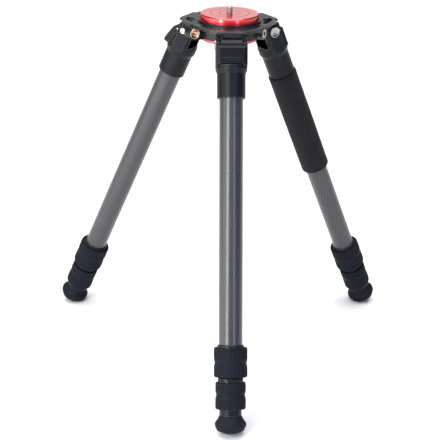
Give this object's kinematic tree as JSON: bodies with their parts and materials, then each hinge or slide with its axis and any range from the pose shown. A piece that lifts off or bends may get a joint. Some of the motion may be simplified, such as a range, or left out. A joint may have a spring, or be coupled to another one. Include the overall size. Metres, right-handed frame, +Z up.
{
  "type": "camera tripod",
  "caption": "Tripod with a flat screw-topped platform clamped in a slotted three-arm spider, and telescoping round legs with angle tabs, twist locks, a foam sleeve and bell feet.",
  "frame": {"origin": "centre of the top face of the mounting platform", "axes": "+Z up along the platform screw; one leg runs out along -Y, the others at 30 and 150 degrees from +X"},
  "size_m": [0.5766, 0.5058, 0.5845],
  "materials": {
    "red_anodised": "anodised satin",
    "bright_steel": "polished",
    "black_anodised": "anodised satin",
    "brass": "satin",
    "black_plastic": "matte",
    "carbon_tube": "clear-coated carbon weave",
    "lock_rubber": "ribbed matte",
    "foot_rubber": "matte",
    "foam": "closed-cell foam"
  },
  "bodies": {
    "spider": {"spider": "black_anodised", "port_bush": "bright_steel"},
    "platform": {"platform": "red_anodised", "screw_clip": "bright_steel"},
    "platform_screw": {"platform_screw": "bright_steel"},
    "clamp_screw": {"clamp_screw": "brass"},
    "front_leg": {"front_crown": "black_anodised", "front_pivot_axle": "bright_steel", "front_pivot_screws": "bright_steel", "front_pivot_washers": "black_plastic", "front_tab_pins": "bright_steel", "front_upper_tube": "carbon_tube", "front_first_ferrule": "black_anodised", "front_first_collet": "black_plastic"},
    "front_tab": {"front_angle_tab": "black_anodised"},
    "front_first_lock": {"front_first_lock": "lock_rubber"},
    "front_middle": {"front_middle_tube": "carbon_tube", "front_second_ferrule": "black_anodised", "front_second_collet": "black_plastic"},
    "front_second_lock": {"front_second_lock": "lock_rubber"},
    "front_lower": {"front_lower_tube": "carbon_tube", "front_foot_plug": "black_anodised", "front_foot": "foot_rubber"},
    "right_leg": {"right_crown": "black_anodised", "right_pivot_axle": "bright_steel", "right_pivot_screws": "bright_steel", "right_pivot_washers": "black_plastic", "right_tab_pins": "bright_steel", "right_upper_tube": "carbon_tube", "right_first_ferrule": "black_anodised", "right_first_collet": "black_plastic", "foam_grip": "foam"},
    "right_tab": {"right_angle_tab": "black_anodised"},
    "right_first_lock": {"right_first_lock": "lock_rubber"},
    "right_middle": {"right_middle_tube": "carbon_tube", "right_second_ferrule": "black_anodised", "right_second_collet": "black_plastic"},
    "right_second_lock": {"right_second_lock": "lock_rubber"},
    "right_lower": {"right_lower_tube": "carbon_tube", "right_foot_plug": "black_anodised", "right_foot": "foot_rubber"},
    "left_leg": {"left_crown": "black_anodised", "left_pivot_axle": "bright_steel", "left_pivot_screws": "bright_steel", "left_pivot_washers": "black_plastic", "left_tab_pins": "bright_steel", "left_upper_tube": "carbon_tube", "left_first_ferrule": "black_anodised", "left_first_collet": "black_plastic"},
    "left_tab": {"left_angle_tab": "black_anodised"},
    "left_first_lock": {"left_first_lock": "lock_rubber"},
    "left_middle": {"left_middle_tube": "carbon_tube", "left_second_ferrule": "black_anodised", "left_second_collet": "black_plastic"},
    "left_second_lock": {"left_second_lock": "lock_rubber"},
    "left_lower": {"left_lower_tube": "carbon_tube", "left_foot_plug": "black_anodised", "left_foot": "foot_rubber"}
  },
  "joints": [
    {"name": "platform_lift", "type": "slide", "parent": "spider", "child": "platform", "axis": [0, 0, 1], "range_m": [0, 0.06]},
    {"name": "platform_screw_turn", "type": "hinge", "parent": "platform", "child": "platform_screw", "pos_m": [0, 0, 0], "axis": [0, 0, 1], "continuous": true},
    {"name": "clamp_screw_turn", "type": "hinge", "parent": "spider", "child": "clamp_screw", "pos_m": [-0.05842, -0.02849, -0.0253], "axis": [0.4384, -0.8988, 0], "continuous": true},
    {"name": "front_leg_swing", "type": "hinge", "parent": "spider", "child": "front_leg", "pos_m": [0, -0.0706, -0.0337], "axis": [-1, 0, 0], "range_deg": [-28.5, 54]},
    {"name": "front_tab_swing", "type": "hinge", "parent": "front_leg", "child": "front_tab", "pos_m": [0, -0.08015, -0.03104], "axis": [-1, 0, 0], "range_deg": [0, 18]},
    {"name": "front_first_lock_turn", "type": "hinge", "parent": "front_leg", "child": "front_first_lock", "pos_m": [0, -0.26775, -0.47135], "axis": [0, -0.4107, -0.9118], "range_deg": [0, 120]},
    {"name": "front_middle_slide", "type": "slide", "parent": "front_leg", "child": "front_middle", "axis": [0, -0.4107, -0.9118], "range_m": [0, 0.35]},
    {"name": "front_second_lock_turn", "type": "hinge", "parent": "front_middle", "child": "front_second_lock", "pos_m": [0, -0.28828, -0.51693], "axis": [0, -0.4107, -0.9118], "range_deg": [0, 120]},
    {"name": "front_lower_slide", "type": "slide", "parent": "front_middle", "child": "front_lower", "axis": [0, -0.4107, -0.9118], "range_m": [0, 0.35]},
    {"name": "right_leg_swing", "type": "hinge", "parent": "spider", "child": "right_leg", "pos_m": [0.06114, 0.0353, -0.0337], "axis": [0.5, -0.866, 0], "range_deg": [-28.5, 54]},
    {"name": "right_tab_swing", "type": "hinge", "parent": "right_leg", "child": "right_tab", "pos_m": [0.06941, 0.04008, -0.03104], "axis": [0.5, -0.866, 0], "range_deg": [0, 18]},
    {"name": "right_first_lock_turn", "type": "hinge", "parent": "right_leg", "child": "right_first_lock", "pos_m": [0.23187, 0.13387, -0.47135], "axis": [0.3557, 0.2054, -0.9118], "range_deg": [0, 120]},
    {"name": "right_middle_slide", "type": "slide", "parent": "right_leg", "child": "right_middle", "axis": [0.3557, 0.2054, -0.9118], "range_m": [0, 0.35]},
    {"name": "right_second_lock_turn", "type": "hinge", "parent": "right_middle", "child": "right_second_lock", "pos_m": [0.24966, 0.14414, -0.51693], "axis": [0.3557, 0.2054, -0.9118], "range_deg": [0, 120]},
    {"name": "right_lower_slide", "type": "slide", "parent": "right_middle", "child": "right_lower", "axis": [0.3557, 0.2054, -0.9118], "range_m": [0, 0.35]},
    {"name": "left_leg_swing", "type": "hinge", "parent": "spider", "child": "left_leg", "pos_m": [-0.06114, 0.0353, -0.0337], "axis": [0.5, 0.866, 0], "range_deg": [-28.5, 54]},
    {"name": "left_tab_swing", "type": "hinge", "parent": "left_leg", "child": "left_tab", "pos_m": [-0.06941, 0.04008, -0.03104], "axis": [0.5, 0.866, 0], "range_deg": [-15, 3]},
    {"name": "left_first_lock_turn", "type": "hinge", "parent": "left_leg", "child": "left_first_lock", "pos_m": [-0.23187, 0.13387, -0.47135], "axis": [-0.3557, 0.2054, -0.9118], "range_deg": [0, 120]},
    {"name": "left_middle_slide", "type": "slide", "parent": "left_leg", "child": "left_middle", "axis": [-0.3557, 0.2054, -0.9118], "range_m": [0, 0.35]},
    {"name": "left_second_lock_turn", "type": "hinge", "parent": "left_middle", "child": "left_second_lock", "pos_m": [-0.24966, 0.14414, -0.51693], "axis": [-0.3557, 0.2054, -0.9118], "range_deg": [0, 120]},
    {"name": "left_lower_slide", "type": "slide", "parent": "left_middle", "child": "left_lower", "axis": [-0.3557, 0.2054, -0.9118], "range_m": [0, 0.35]}
  ]
}
